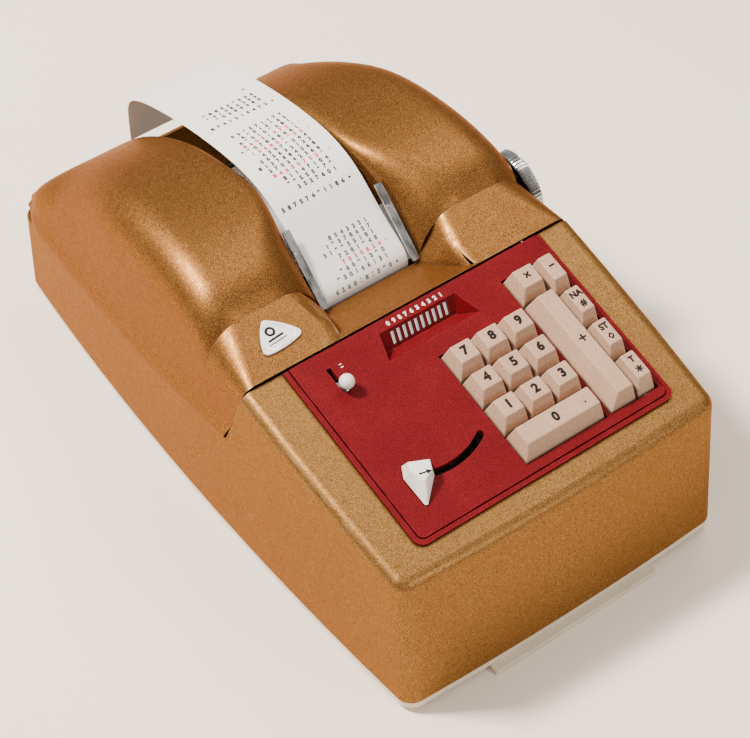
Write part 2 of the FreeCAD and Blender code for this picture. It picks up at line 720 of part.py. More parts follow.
def make_paper():
    middle = Part.BSplineCurve()
    middle.interpolate([Vector(0, y, z) for y, z in paper_path()])
    first, last = middle.FirstParameter, middle.LastParameter
    count = 90
    faces = []
    for side in (-1, 1):
        points = []
        for i in range(count + 1):
            here = first + (last - first) * i / count
            along = middle.tangent(here)[0]
            normal = Vector(0, -along.z, along.y)
            points.append(middle.value(here) + normal * (side * PAPER_THICKNESS / 2))
        curve = Part.BSplineCurve()
        curve.interpolate(points)
        faces.append((curve.toShape(), points[0], points[-1]))
    (low, low_start, low_end), (high, high_start, high_end) = faces
    wire = Part.Wire(Part.__sortEdges__([low, Part.makeLine(low_end, high_end), high,
                                         Part.makeLine(high_start, low_start)]))
    half = size("paper_width") / 2
    piece(shaped("tape", prism_along_x(wire, -half, half)), "paper_tape")


def make_window():
    """The clear guard in front of the tape and the two bright strips that hold it."""
    low, high = Vector(0, 159.4, 124.2), Vector(0, 186.4, 147.4)
    along = (high - low).normalize()
    turn = Rotation(Vector(1, 0, 0), math.degrees(math.atan2(along.z, along.y)))
    length = (high - low).Length
    pane = block("pane", "60", length, "1.2", Placement(low + Vector(-30, 0, 0), turn))
    piece(pane, "paper_window")
    for side, name in ((-1, "left"), (1, "right")):
        left = side * 32.6 - 2.4
        strip = Part.makeBox(4.8, length + 14, 1.2, Vector(left, -2.5, -0.4))
        screw = Part.makeCylinder(1.9, 1, Vector(side * 32.6, length - 1, 0.8))
        strip.Placement = Placement(low, turn)
        screw.Placement = Placement(low, turn)
        piece(shaped(f"strip_{name}", strip.fuse(screw)), f"window_bracket_{name}")
    bar = Part.makeBox(58, 3, 0.8, Vector(-29, 155.4, size("slot_height") - 3.6))
    piece(shaped("tear", bar), "tear_bar")


def make_platen():
    y, z = size("platen_y"), size("platen_z")
    shaft_radius = size("platen_shaft_radius")
    half = size("paper_width") / 2
    roller = rod("platen_tube", "platen_radius", "paper_width + 1", at(-half - 0.5, y, z, ALONG_X))
    bore = rod("platen_bore", "platen_shaft_radius", "paper_width + 20", at(-half - 10, y, z, ALONG_X))
    piece(cut("platen_roller", roller, [bore]), "platen")
    start = -size("frame_half_width") - 3
    shaft = rod("platen_rod", "platen_shaft_radius", f"knob_outer - 6.5 - {start}", at(start, y, z, ALONG_X))
    piece(shaft, "platen_shaft")
    rim, outer = size("knob_radius"), size("knob_outer")
    hub, cap = outer - 15.5, outer - 6.5
    profile = [(hub, shaft_radius), (hub, 9), (hub + 5.5, rim - 2), (hub + 6.5, rim - 0.6), (hub + 7.2, rim),
               (outer - 1.9, rim), (outer - 1.2, rim - 0.8), (outer - 1.2, rim - 3), (outer - 2.5, rim - 4),
               (outer - 2.5, 8), (outer, 7), (outer, 0), (cap, 0), (cap, shaft_radius)]
    face = Part.Face(polygon([(x, r, 0) for x, r in profile]))
    knob = face.revolve(Vector(0, 0, 0), Vector(1, 0, 0), 360)
    piece(shaped("knob", knob, at(0, y, z)), "platen_knob")
    reach = size("platen_radius") + 5 + 1.1
    angle = math.radians(-100)
    roller_y, roller_z = y + reach * math.cos(angle), z + reach * math.sin(angle)
    inner = size("frame_half_width") - size("frame_thickness")
    axle = Part.makeCylinder(1.5, 2 * inner + 4, Vector(-inner - 2, roller_y, roller_z), Vector(1, 0, 0))
    rings = [Part.makeCylinder(5, 12, Vector(x, roller_y, roller_z), Vector(1, 0, 0)) for x in (-24, 12)]
    piece(shaped("feed", axle.fuse(rings)), "feed_rollers")
    return (y, z, shaft_radius), (roller_y, roller_z, 1.5)


# ---------------------------------------------------------------- mechanism
def gear(teeth, width, bore):
    """A spur gear about X: straight-flanked teeth, cut thin for backlash."""
    module = size("gear_module")
    pitch = module * teeth / 2
    root, tip = pitch - 1.1 * module, pitch + 0.8 * module
    points = []
    for i in range(teeth):
        middle = 2 * math.pi * i / teeth
        half = math.pi * 0.4 / teeth
        for radius, offset in ((root, -1.55), (tip, -0.55), (tip, 0.55), (root, 1.55)):
            a = middle + half * offset
            points.append((0, radius * math.cos(a), radius * math.sin(a)))
    body = Part.Face(polygon(points)).extrude(Vector(width, 0, 0))
    return body.cut(Part.makeCylinder(bore, width, Vector(0, 0, 0), Vector(1, 0, 0)))


def make_frames(bores):
    half, thick = size("frame_half_width"), size("frame_thickness")
    side_view = [(143, 5.5), (362, 5.5), (362, 60), (300, 90), (200, 92),
                 (200, 132), (164, 132), (164, 95), (143, 80)]
    for side, name in ((-1, "left"), (1, "right")):
        start = -half if side < 0 else half - thick
        sheet_metal = prism_along_x(yz_polygon(side_view), start, start + thick)
        holes = [Part.makeCylinder(r + size("running_fit"), 200, Vector(-100, y, z), Vector(1, 0, 0))
                 for y, z, r in bores]
        lightening = Part.makeCylinder(16, 200, Vector(-100, 200, 45), Vector(1, 0, 0))
        piece(shaped(f"frame_{name}", sheet_metal.cut(holes + [lightening])), f"side_frame_{name}")
    rods = [rod("cross_rod", "3", "2 * (frame_half_width - frame_thickness)", at(thick - half, y, z, ALONG_X))
            for y, z in ((156, 20), (352, 16), (352, 50))]
    piece(together("rods", rods), "cross_rods")


def make_paper_roll():
    y, z, inner = size("roll_y"), size("roll_z"), size("frame_half_width") - size("frame_thickness")
    half = size("paper_width") / 2
    roll = rod("roll_body", "roll_radius", "paper_width", at(-half, y, z, ALONG_X))
    core = rod("roll_core", "6 + running_fit", "paper_width + 2", at(-half - 1, y, z, ALONG_X))
    piece(cut("roll", roll, [core]), "paper_roll")
    piece(rod("spindle", "6", f"{2 * inner}", at(-inner, y, z, ALONG_X)), "roll_spindle")


def make_drive():
    y, z, half = size("main_shaft_y"), size("main_shaft_z"), size("frame_half_width")
    teeth, small, module = size("gear_teeth"), size("pinion_teeth"), size("gear_module")
    motor_y = y + module * (teeth + small) / 2
    shaft = Part.makeCylinder(5, 2 * half + 2, Vector(-half - 1, y, z), Vector(1, 0, 0))
    cams = [Part.makeCylinder(13, 4, Vector(x, y + 4, z), Vector(1, 0, 0)) for x in (-22, -2, 18, 30)]
    piece(shaped("cam_shaft", shaft.fuse(cams)), "main_shaft")
    wheel = gear(int(teeth), 6, 5)
    piece(shaped("wheel", wheel, at(-half + 3.2, y, z)), "main_gear")
    pinion = gear(int(small), 6, 3)
    pinion.rotate(Vector(0, 0, 0), Vector(1, 0, 0), 180 / small)
    pinion = pinion.fuse(Part.makeCylinder(3, 17.8, Vector(-11.8, 0, 0), Vector(1, 0, 0)))
    piece(shaped("small_wheel", pinion, at(-half + 3.2, motor_y, z)), "motor_pinion")
    body = Part.makeCylinder(27, 50, Vector(-98, motor_y, z), Vector(1, 0, 0))
    boss = Part.makeCylinder(10, 2, Vector(-48, motor_y, z), Vector(1, 0, 0))
    tail = Part.makeCylinder(10, 4, Vector(-102, motor_y, z), Vector(1, 0, 0))
    motor = body.fuse([boss, tail])
    bore_start = Vector(-58, motor_y, z)
    motor = motor.cut(Part.makeCylinder(3 + size("running_fit"), 20, bore_start, Vector(1, 0, 0)))
    piece(shaped("motor_body", motor), "motor")
    return (y, z, 5), (motor_y, z, 3)


def make_type_bars():
    """Thirteen print bars side by side in their comb, just in front of the platen."""
    bars = []
    for i in range(13):
        x = (i - 6) * COLUMN_PITCH - 0.7
        bars.append(block("type_bar", "1.4", "5", "88", at(x, 148, 26)))
        head = block("type_head", "1.4", "3.6", "10", at(x, 153, 104))
        bars[-1] = joined("type_bar_head", [bars[-1], head])
    piece(together("bars", bars), "type_bars")
    inner = size("frame_half_width") - size("frame_thickness")
    comb = Part.makeBox(2 * inner, 12, 3, Vector(-inner, 144.5, 60))
    gaps = [Part.makeBox(2, 5.6, 10, Vector((i - 6) * COLUMN_PITCH - 1, 147.7, 56)) for i in range(13)]
    piece(shaped("comb_bar", comb.cut(gaps)), "type_bar_comb")


def make_ribbon():
    half = size("frame_half_width")
    brackets = []
    for side, name in ((-1, "left"), (1, "right")):
        x = side * 68
        core = Part.makeCylinder(10.2, 15, Vector(x, 148, 100.6))
        flanges = [Part.makeCylinder(14, 1, Vector(x, 148, z)) for z in (100.6, 114.6)]
        spool = core.fuse(flanges).cut(Part.makeCylinder(2.5 + size("running_fit"), 40, Vector(x, 148, 90)))
        piece(shaped(f"spool_{name}", spool), f"ribbon_spool_{name}")
        left = -88 if side < 0 else half
        shelf = Part.makeBox(88 - half, 40, 1.6, Vector(left, 132, 98.4))
        post = Part.makeCylinder(2.5, 17.5, Vector(x, 148, 100))
        brackets.append(shelf.fuse(post))
    piece(shaped("spool_posts", Part.makeCompound(brackets)), "ribbon_brackets")
    band = Part.makeBox(112, 0.3, 11, Vector(-56, 158.6, 102.6))
    piece(shaped("ink_band", band), "ribbon")


def make_power_inlet():
    """A two-pin appliance socket let into the housing's rear wall."""
    body = Part.makeBox(29, 14, 19, Vector(-74.5, 372.4, 26.5))
    flange = Part.makeBox(37, 1.5, 27, Vector(-78.5, 386, 22.5))
    body = body.fuse(flange)
    body = body.cut(Part.makeBox(24, 12, 16.4, Vector(-72, 376, 27.8)))
    pins = [Part.makeCylinder(2, 11.5, Vector(x, 375, 36), Vector(0, 1, 0)) for x in (-65, -55)]
    piece(shaped("inlet", body.fuse(pins)), "power_inlet")


make_lower_housing()
make_base()
make_rear_cover()
make_panel()
make_keys()
make_key_guides()
make_clear_lever()
make_selector()
make_indicator()
make_badge()
make_paper()
make_window()
platen_bore, roller_bore = make_platen()
main_bore, motor_bore = make_drive()
make_frames([platen_bore, roller_bore, main_bore, motor_bore])
make_paper_roll()
make_type_bars()
make_ribbon()
make_power_inlet()
doc.recompute()

# ---------------------------------------------------------------- checks and files
for obj in doc.Objects:
    if "Invalid" in obj.State or "Error" in obj.State:
        raise RuntimeError(f"{obj.Name} did not recompute: {obj.State}")
os.makedirs("parts", exist_ok=True)
whole = FreeCAD.BoundBox()
for obj in PIECES:
    if obj.Shape.isNull() or not obj.Shape.isValid():
        raise RuntimeError(f"{obj.Label} has no valid shape")
    whole.add(obj.Shape.BoundBox)
    obj.Shape.exportStep(f"parts/{obj.Label}.step")
    low = obj.Shape.BoundBox.ZMin
    volume = obj.Shape.Volume / 1000
    print(f"{obj.Label:22} {len(obj.Shape.Solids):2} solids {volume:8.2f} cm3, lowest {low:6.1f}")
print(len(PIECES), "pieces, box", whole)
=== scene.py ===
import json
import math
import random

import bmesh
import bpy
from mathutils import Matrix, Vector
from mathutils.bvhtree import BVHTree


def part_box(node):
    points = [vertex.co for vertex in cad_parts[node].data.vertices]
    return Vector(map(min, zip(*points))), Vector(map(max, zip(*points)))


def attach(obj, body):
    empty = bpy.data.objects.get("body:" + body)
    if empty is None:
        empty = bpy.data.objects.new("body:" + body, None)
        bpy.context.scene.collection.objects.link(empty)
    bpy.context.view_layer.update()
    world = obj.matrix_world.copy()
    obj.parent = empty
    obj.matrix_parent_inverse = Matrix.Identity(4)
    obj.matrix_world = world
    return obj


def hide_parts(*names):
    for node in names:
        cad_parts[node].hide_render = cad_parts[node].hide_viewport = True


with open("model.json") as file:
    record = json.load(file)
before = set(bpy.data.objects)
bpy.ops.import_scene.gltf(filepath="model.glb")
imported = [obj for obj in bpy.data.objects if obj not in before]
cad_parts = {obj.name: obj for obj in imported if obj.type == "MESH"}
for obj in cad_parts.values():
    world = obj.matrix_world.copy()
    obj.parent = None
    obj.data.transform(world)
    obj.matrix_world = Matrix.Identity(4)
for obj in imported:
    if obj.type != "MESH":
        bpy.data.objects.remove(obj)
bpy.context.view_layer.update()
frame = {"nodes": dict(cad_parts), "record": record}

NODES = frame["nodes"]
MM = 0.001

# ---------------------------------------------------------------- places, in the row frame
PANEL_RIGHT = 92 * MM
PLATEN_BACK = 174 * MM
DECK_RISE = 107.3 * MM
SLOPE = math.radians(13.7)
SHAFT_LOW, SHAFT_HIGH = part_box("platen_shaft")
SHIFT = Vector((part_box("keyboard_panel")[1].x - PANEL_RIGHT, (SHAFT_LOW.y + SHAFT_HIGH.y) / 2 - PLATEN_BACK, 0))
DECK = Matrix.Translation(SHIFT + Vector((0, 0, DECK_RISE))) @ Matrix.Rotation(SLOPE, 4, "X")


def on_deck(x, along, height, turn=0.0):
    """A place on the sloping deck: millimetres across, along the slope and above it, turned about its normal."""
    return DECK @ Matrix.Translation(Vector((x, along, height)) * MM) @ Matrix.Rotation(math.radians(turn), 4, "Z")


def deck_point(point):
    """Where a point of the row frame lies on the deck, in millimetres."""
    return (DECK.inverted() @ point) / MM


def middle(node):
    low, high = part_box(node)
    return (low + high) / 2


# ---------------------------------------------------------------- materials
class Nodes:
    """A node tree built one node at a time, with one surface shader at its end."""

    def __init__(self, name):
        self.material = bpy.data.materials.new(name)
        self.material.use_nodes = True
        self.tree = self.material.node_tree
        self.tree.nodes.clear()
        self.output = self.add("ShaderNodeOutputMaterial")
        self.shader = self.add("ShaderNodeBsdfPrincipled")
        self.link(self.shader.outputs["BSDF"], self.output.inputs["Surface"])
        self.where = self.add("ShaderNodeTexCoord").outputs["Object"]

    def add(self, kind, **values):
        node = self.tree.nodes.new(kind)
        for key, value in values.items():
            setattr(node, key, value)
        return node

    def link(self, output, socket):
        self.tree.links.new(output, socket)

    def noise(self, size, detail=2.0, stretch=None):
        """Noise whose features are about this many millimetres across."""
        node = self.add("ShaderNodeTexNoise")
        node.inputs["Scale"].default_value = 1 / (size * MM)
        node.inputs["Detail"].default_value = detail
        source = self.where
        if stretch:
            scale = self.add("ShaderNodeMapping")
            scale.inputs["Scale"].default_value = stretch
            self.link(source, scale.inputs["Vector"])
            source = scale.outputs["Vector"]
        self.link(source, node.inputs["Vector"])
        return node.outputs["Fac"]

    def ramp(self, source, stops):
        node = self.add("ShaderNodeValToRGB")
        elements = node.color_ramp.elements
        while len(elements) < len(stops):
            elements.new(0.5)
        for element, (place, colour) in zip(elements, stops):
            element.position = place
            element.color = (*colour, 1) if len(colour) == 3 else colour
        self.link(source, node.inputs["Fac"])
        return node.outputs["Color"]

    def spread(self, source, low, high, at_low=0.3, at_high=0.7):
        node = self.add("ShaderNodeMapRange")
        node.inputs["From Min"].default_value = at_low
        node.inputs["From Max"].default_value = at_high
        node.inputs["To Min"].default_value = low
        node.inputs["To Max"].default_value = high
        self.link(source, node.inputs["Value"])
        return node.outputs["Result"]

    def maths(self, operation, first, second, clamp=False):
        node = self.add("ShaderNodeMath", operation=operation, use_clamp=clamp)
        for socket, value in zip(node.inputs, (first, second)):
            if isinstance(value, (int, float)):
                socket.default_value = value
            else:
                self.link(value, socket)
        return node.outputs["Value"]

    def mix(self, factor, first, second, blend="MIX"):
        node = self.add("ShaderNodeMix", data_type="RGBA", blend_type=blend)
        sockets = [node.inputs[0], node.inputs[6], node.inputs[7]]
        for socket, value in zip(sockets, (factor, first, second)):
            if isinstance(value, (int, float)):
                socket.default_value = value
            elif isinstance(value, tuple):
                socket.default_value = (*value, 1)
            else:
                self.link(value, socket)
        return node.outputs[2]

    def edges(self, radius, patches):
        """0 on flat ground, rising to 1 on outer corners, broken up by patches of noise: the mask for a painted edge
        highlight.
        """
        bevel = self.add("ShaderNodeBevel", samples=4)
        bevel.inputs["Radius"].default_value = radius * MM
        flat = self.add("ShaderNodeNewGeometry").outputs["Normal"]
        turned = self.add("ShaderNodeVectorMath", operation="DOT_PRODUCT")
        self.link(bevel.outputs["Normal"], turned.inputs[0])
        self.link(flat, turned.inputs[1])
        bend = self.maths("SUBTRACT", 1.0, turned.outputs["Value"])
        strong = self.maths("MULTIPLY", bend, 9.0, clamp=True)
        return self.maths("MULTIPLY", strong, self.spread(patches, 0.0, 1.0, 0.42, 0.6), clamp=True)

    def painted_shade_mask(self, reach):
        """1 in the open, falling towards 0 in corners and gaps nearer than this many millimetres: the mask for painted
        shade.
        """
        node = self.add("ShaderNodeAmbientOcclusion", samples=6)
        node.inputs["Distance"].default_value = reach * MM
        return self.spread(node.outputs["AO"], 0.0, 1.0, 0.25, 0.85)

    def bump(self, heights, depth):
        """Raises the surface by depth millimetres where heights is 1."""
        node = self.add("ShaderNodeBump")
        node.inputs["Strength"].default_value = 0.6
        node.inputs["Distance"].default_value = depth * MM
        self.link(heights, node.inputs["Height"])
        self.link(node.outputs["Normal"], self.shader.inputs["Normal"])

    def set(self, **values):
        for key, value in values.items():
            self.shader.inputs[key.replace("_", " ")].default_value = value


def enamel(name, dark, mid, light, highlight_colour, flake=0.55):
    """Metallic enamel: fine flakes, soft clouds, an orange-peel skin, a painted highlight on the edges in patches and
    painted shade in corners and gaps.
    """
    n = Nodes(name)
    flakes, clouds = n.noise(flake, 3.0), n.noise(38, 3.0)
    grain = n.ramp(flakes, [(0.36, dark), (0.5, mid), (0.66, light)])
    toned = n.mix(n.spread(clouds, 0.0, 0.3), grain, mid)
    # Outer edges lighten in patches towards the last colour: a painted highlight.
    edge_highlight = n.edges(1.4, n.noise(9, 4.0))
    toned = n.mix(n.maths("MULTIPLY", edge_highlight, 0.35), toned, highlight_colour)
    # Corners and gaps darken towards a deep brown: painted shade.
    n.link(n.mix(n.painted_shade_mask(4.5), tuple(0.12 * c for c in dark), toned), n.shader.inputs["Base Color"])
    n.link(n.spread(n.noise(3.2, 3.0), 0.37, 0.48), n.shader.inputs["Roughness"])
    n.bump(n.maths("ADD", n.noise(1.3, 2.0), n.maths("MULTIPLY", flakes, 0.35)), 0.05)
    n.set(Metallic=0.72, Specular_IOR_Level=0.22, Specular_Tint=(0.80, 0.42, 0.16, 1))
    return n.material


def moulded(name, colour, shade, light, rough, grain=0.5, depth=0.03, gloss=0.5, edge_highlight_colour=None, clouds=24, shade_reach=0.0):
    """Moulded or painted plastic and plain paint: slight mottling, fine texture, a painted highlight on the edges in
    patches and, where asked for, painted shade in corners and gaps.
    """
    n = Nodes(name)
    fine, broad = n.noise(grain, 3.0), n.noise(clouds, 4.0)
    tone = n.ramp(fine, [(0.34, shade), (0.52, colour), (0.7, light)])
    tone = n.mix(n.spread(broad, 0.0, 0.4), tone, shade)
    # Outer edges lighten in patches: a painted highlight.
    edge_highlight = n.edges(0.8, n.noise(6, 4.0))
    tone = n.mix(n.maths("MULTIPLY", edge_highlight, 0.5), tone, edge_highlight_colour or light)
    # Corners and gaps within the given reach darken: painted shade.
    if shade_reach:
        tone = n.mix(n.painted_shade_mask(shade_reach), tuple(0.1 * c for c in shade), tone)
    n.link(tone, n.shader.inputs["Base Color"])
    n.link(n.spread(broad, rough - 0.05, rough + 0.08), n.shader.inputs["Roughness"])
    n.bump(fine, depth)
    n.set(Specular_IOR_Level=gloss)
    return n.material


def metal(name, colour, shade, rough, stretch=(1, 1, 1), grain=1.2, depth=0.012, metallic=1.0):
    """Plated, ground or machined metal: brushed streaks, a smudge here and there and a little tarnish in patches; on
    chrome the dark streaks and patches are a painted reflection instead.
    """
    n = Nodes(name)
    streaks, smudge_and_reflection_patches = n.noise(grain, 3.0, stretch), n.noise(14, 4.0)
    tone = n.ramp(streaks, [(0.3, shade), (0.62, colour)])
    n.link(n.mix(n.spread(smudge_and_reflection_patches, 0.0, 0.45), tone, shade), n.shader.inputs["Base Color"])
    n.link(n.spread(smudge_and_reflection_patches, rough, rough + 0.14), n.shader.inputs["Roughness"])
    n.bump(streaks, depth)
    n.set(Metallic=metallic)
    return n.material


def paper(name):
    n = Nodes(name)
    fibres, clouds = n.noise(0.45, 4.0, (1, 0.35, 1)), n.noise(30, 3.0)
    tone = n.ramp(fibres, [(0.3, (0.80, 0.76, 0.71)), (0.6, (0.88, 0.85, 0.81))])
    n.link(n.mix(n.spread(clouds, 0.0, 0.35), tone, (0.84, 0.79, 0.76)), n.shader.inputs["Base Color"])
    n.link(n.spread(fibres, 0.72, 0.86), n.shader.inputs["Roughness"])
    n.bump(fibres, 0.02)
    n.set(Subsurface_Weight=0.03, Specular_IOR_Level=0.25)
    return n.material


def clear(name):
    n = Nodes(name)
    scratches = n.noise(0.7, 4.0, (0.12, 1, 1))
    n.link(n.ramp(n.noise(20, 2.0), [(0.3, (0.84, 0.88, 0.87)), (0.7, (0.93, 0.95, 0.94))]),
           n.shader.inputs["Base Color"])
    n.link(n.spread(scratches, 0.04, 0.14), n.shader.inputs["Roughness"])
    n.bump(scratches, 0.006)
    n.set(Alpha=0.05, IOR=1.49, Specular_IOR_Level=0.8)
    return n.material


# The last colour of each enamel is the tone of its painted edge highlight.
BRONZE = enamel("bronze_paint", (0.100, 0.042, 0.010), (0.215, 0.102, 0.029), (0.40, 0.225, 0.080), (0.56, 0.38, 0.17))
COVER = enamel("cover_paint", (0.085, 0.030, 0.007), (0.185, 0.077, 0.020), (0.365, 0.185, 0.062), (0.54, 0.34, 0.14))
CREAM = moulded("cream_paint", (0.74, 0.66, 0.52), (0.58, 0.49, 0.36), (0.84, 0.78, 0.66), 0.42, gloss=0.45)
# The red panel and the ivory keys darken in their gaps as painted shade; their edges lighten towards the given tone as
# a painted highlight.
RED = moulded("red_panel", (0.135, 0.001, 0.004), (0.075, 0.0006, 0.002), (0.21, 0.003, 0.008), 0.62, grain=0.7,
              depth=0.03, gloss=0.14, edge_highlight_colour=(0.36, 0.02, 0.03), shade_reach=1.6)
IVORY = moulded("ivory_keys", (0.47, 0.295, 0.195), (0.38, 0.22, 0.14), (0.57, 0.39, 0.28), 0.5, grain=0.8,
                depth=0.02, gloss=0.3, edge_highlight_colour=(0.76, 0.66, 0.56), shade_reach=3.0)
WHITE = moulded("white_knobs", (0.84, 0.80, 0.74), (0.74, 0.69, 0.62), (0.92, 0.89, 0.84), 0.3, gloss=0.5)
COMB = moulded("white_comb_painted_glow", (0.92, 0.90, 0.85), (0.86, 0.83, 0.77), (0.96, 0.95, 0.92), 0.45)
# The comb glows a little though no lamp is in it: painted light on the white bars.
COMB_SHADER = next(n for n in COMB.node_tree.nodes if n.type == "BSDF_PRINCIPLED")
COMB_SHADER.inputs["Emission Color"].default_value = (1.0, 0.95, 0.88, 1)
COMB_SHADER.inputs["Emission Strength"].default_value = 0.35
RUBBER = moulded("rubber", (0.028, 0.027, 0.026), (0.016, 0.016, 0.016), (0.05, 0.048, 0.046), 0.72, gloss=0.3)
BLACK = moulded("black_moulding", (0.03, 0.029, 0.028), (0.018, 0.018, 0.018), (0.06, 0.056, 0.052), 0.42)
MOTOR = moulded("motor_enamel", (0.075, 0.08, 0.082), (0.045, 0.048, 0.05), (0.13, 0.135, 0.14), 0.48, depth=0.06)
INK_CLOTH = moulded("inked_ribbon", (0.02, 0.016, 0.024), (0.012, 0.010, 0.015), (0.045, 0.03, 0.045), 0.85,
                    grain=0.35, depth=0.05, gloss=0.2)
# Chrome's dark streaks and patches are a painted reflection.
CHROME = metal("chrome", (0.80, 0.79, 0.77), (0.16, 0.15, 0.145), 0.1, (1, 0.25, 0.6), 5.0, depth=0.002)
SATIN = metal("satin_badge", (0.90, 0.88, 0.84), (0.70, 0.67, 0.62), 0.34, (1, 8, 1), 0.8, 0.02, 0.6)
STEEL = metal("zinc_steel", (0.58, 0.57, 0.55), (0.37, 0.36, 0.34), 0.32, (1, 6, 6), 2.4)
SHAFT = metal("ground_steel", (0.66, 0.65, 0.64), (0.44, 0.43, 0.42), 0.22, (0.2, 5, 5), 0.9)
BRASS = metal("brass", (0.72, 0.52, 0.22), (0.46, 0.31, 0.12), 0.27, (4, 1, 1), 1.0)
PAPER = paper("tape_stock")
ACRYLIC = clear("acrylic")
BLACK_INK = moulded("black_ink", (0.035, 0.027, 0.026), (0.02, 0.016, 0.016), (0.10, 0.08, 0.075), 0.7, grain=0.3,
                    depth=0.005, gloss=0.2)
RED_INK = moulded("red_ink", (0.62, 0.05, 0.06), (0.52, 0.03, 0.04), (0.74, 0.16, 0.15), 0.7, grain=0.3,
                  depth=0.005, gloss=0.2)
LEGEND = moulded("legend_fill", (0.016, 0.011, 0.010), (0.009, 0.007, 0.006), (0.035, 0.027, 0.024), 0.7, grain=0.6,
                 depth=0.004, gloss=0.1)
PALE_FILL = moulded("pale_fill", (0.86, 0.76, 0.68), (0.72, 0.58, 0.50), (0.93, 0.88, 0.82), 0.5, grain=0.6,
                    depth=0.004)

FINISH = {
    "bronze_enamel": BRONZE, "cover_enamel": COVER, "base_cream": CREAM, "panel_red": RED, "key_ivory": IVORY,
    "lever_white": WHITE, "bright_chrome": CHROME, "clear_acrylic": ACRYLIC, "tape_paper": PAPER,
    "frame_steel": STEEL, "shaft_steel": SHAFT, "rubber_black": RUBBER, "comb_white": COMB, "brass_gear": BRASS,
    "motor_paint": MOTOR, "ink_ribbon": INK_CLOTH, "spool_black": BLACK, "inlet_black": BLACK,
    "badge_silver": SATIN,
}
for part in frame["record"]["subparts"]:
    NODES[part["node"]].data.materials.clear()
    NODES[part["node"]].data.materials.append(FINISH[part["material_slot"]])


# ---------------------------------------------------------------- mesh helpers
def add_mesh(name, mesh, material, body):
    """Links a mesh as a piece that rides on a body, with the given finish."""
    mesh.materials.clear()
    mesh.materials.append(material)
    for face in mesh.polygons:
        face.use_smooth = False
    obj = bpy.data.objects.new(name, mesh)
    bpy.context.scene.collection.objects.link(obj)
    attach(obj, body)
    return obj


CAPITAL_SHARE = 0.73  # a capital's height as a share of the built-in face's size


def lettering(text, height, thickness=0.0, bold=0.075):
    """Text centred on the origin, its capitals this many millimetres high; bold is a share of that height."""
    curve = bpy.data.curves.new("text", "FONT")
    curve.body = text
    curve.size = height * MM / CAPITAL_SHARE
    curve.align_x = "CENTER"
    curve.align_y = "CENTER"
    curve.resolution_u = 4
    curve.extrude = thickness * MM
    curve.offset = bold * height * MM
    obj = bpy.data.objects.new("text", curve)
    bpy.context.scene.collection.objects.link(obj)
    mesh = bpy.data.meshes.new_from_object(obj.evaluated_get(bpy.context.evaluated_depsgraph_get()))
    bpy.data.objects.remove(obj)
    bpy.data.curves.remove(curve)
    xs, ys = [v.co.x for v in mesh.vertices], [v.co.y for v in mesh.vertices]
    centre = Vector(((min(xs) + max(xs)) / 2, (min(ys) + max(ys)) / 2, 0))
    mesh.transform(Matrix.Translation(-centre))
    return mesh


def outline_mesh(corners, thickness):
    """A flat plate of this outline (millimetres), with its foot at height 0 and square sides."""
    bm = bmesh.new()
    face = bm.faces.new([bm.verts.new(Vector((x, y, 0)) * MM) for x, y in corners])
    if face.normal.z < 0:
        face.normal_flip()
    bottom = bmesh.ops.extrude_face_region(bm, geom=[face])
    for v in bottom["geom"]:
        if isinstance(v, bmesh.types.BMVert):
            v.co.z += thickness * MM
    bmesh.ops.recalc_face_normals(bm, faces=bm.faces)
    mesh = bpy.data.meshes.new("plate")
    bm.to_mesh(mesh)
    bm.free()
    return mesh


def merged(meshes):
    """One mesh out of (mesh, place) pairs."""
    bm = bmesh.new()
    for mesh, place in meshes:
        mesh.transform(place)
        bm.from_mesh(mesh)
    result = bpy.data.meshes.new("merged")
    bm.to_mesh(result)
    bm.free()
    return result


def rectangle(length, width):
    return [(-length / 2, -width / 2), (length / 2, -width / 2), (length / 2, width / 2), (-length / 2, width / 2)]


STROKE_STEP = 0.002  # crossing strokes lie this much above each other, so that no two faces coincide


def bars_mesh(strokes, thickness):
    """Flat strokes (centre x, centre y, length, width, turn in degrees), in millimetres, with square sides."""
    pieces = []
    for level, (x, y, length, width, turn) in enumerate(strokes):
        place = Matrix.Translation(Vector((x, y, level * STROKE_STEP)) * MM)
        pieces.append((outline_mesh(rectangle(length, width), thickness),
                       place @ Matrix.Rotation(math.radians(turn), 4, "Z")))
    return merged(pieces)


# ---------------------------------------------------------------- key legends
KEY_TOP = 11.5
CLEAR = 0.02  # marks float this far off the surface that they lie on
LEGEND_THICKNESS = 0.04
SIGNS = {
    "+": [(0, 0, 5.0, 1.15, 0), (0, 0, 5.0, 1.15, 90)],
    "×": [(0, 0, 4.8, 1.15, 45), (0, 0, 4.8, 1.15, -45)],
    "−": [(0, 0, 3.8, 1.15, 0)],
    ".": [(0, 0, 1.1, 1.1, 0)],
    "*": [(0, 0, 4.8, 1.0, turn) for turn in (90, 30, -30)],
    "◊": [(-0.75, 0.9, 2.6, 0.9, 50), (0.75, 0.9, 2.6, 0.9, -50), (-0.75, -0.9, 2.6, 0.9, -50),
          (0.75, -0.9, 2.6, 0.9, 50)],
}
DIGIT_LEFT, DIGIT_PITCH, ROW_FRONT, ROW_PITCH = -8, 19, 7.6, 19.9
DIGIT_KEYS = {"1": (0, 1), "2": (1, 1), "3": (2, 1), "4": (0, 2), "5": (1, 2), "6": (2, 2),
              "7": (0, 3), "8": (1, 3), "9": (2, 3)}


def legend(key, marks):
    """marks: (text, capital height, x, along) on the flat top of one keycap; a sign keeps its own size."""
    pieces = []
    for text, height, x, along in marks:
        mesh = (bars_mesh(SIGNS[text], LEGEND_THICKNESS) if text in SIGNS
                else lettering(text, height, LEGEND_THICKNESS))
        pieces.append((mesh, on_deck(x, along, KEY_TOP + CLEAR)))
    add_mesh(f"legend_{key}", merged(pieces), LEGEND, f"key_{key}_body")


